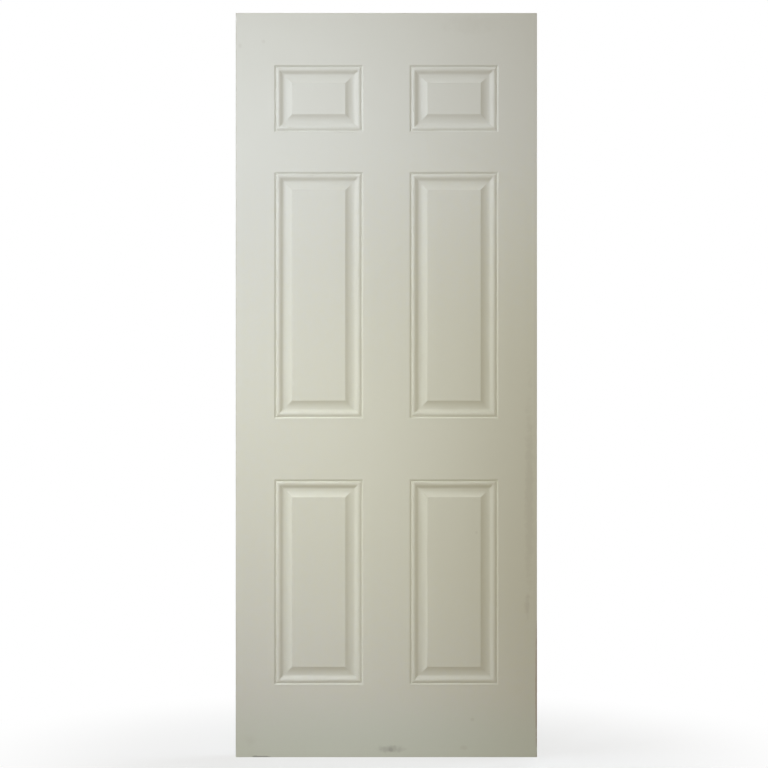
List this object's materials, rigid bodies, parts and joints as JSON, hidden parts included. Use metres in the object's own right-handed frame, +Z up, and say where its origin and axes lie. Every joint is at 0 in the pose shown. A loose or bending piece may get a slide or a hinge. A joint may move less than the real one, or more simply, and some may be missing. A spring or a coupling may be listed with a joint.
{
  "type": "panelled front door leaf",
  "caption": "Insulated entrance door leaf with raised and fielded panels pressed into both steel faces, on a timber frame with a lock block and a foam core.",
  "frame": {"origin": "middle of the bottom edge, at half the thickness", "axes": "+Z up along the height, +X towards the lock edge, front face towards -Y"},
  "size_m": [0.826, 0.044, 2.04],
  "materials": {
    "door_paint": "satin factory paint, off-white",
    "stile_timber": "sawn and planed, unfinished",
    "rail_timber": "planed softwood, unfinished",
    "core_foam": "foamed in place, matte",
    "staple_wire": "bright galvanised wire"
  },
  "bodies": {
    "root": {"front_skin": "door_paint", "back_skin": "door_paint", "lock_stile": "stile_timber", "hinge_stile": "stile_timber", "top_rail": "rail_timber", "bottom_rail": "rail_timber", "lock_block": "rail_timber", "foam_core": "core_foam", "frame_staples": "staple_wire"}
  },
  "joints": []
}
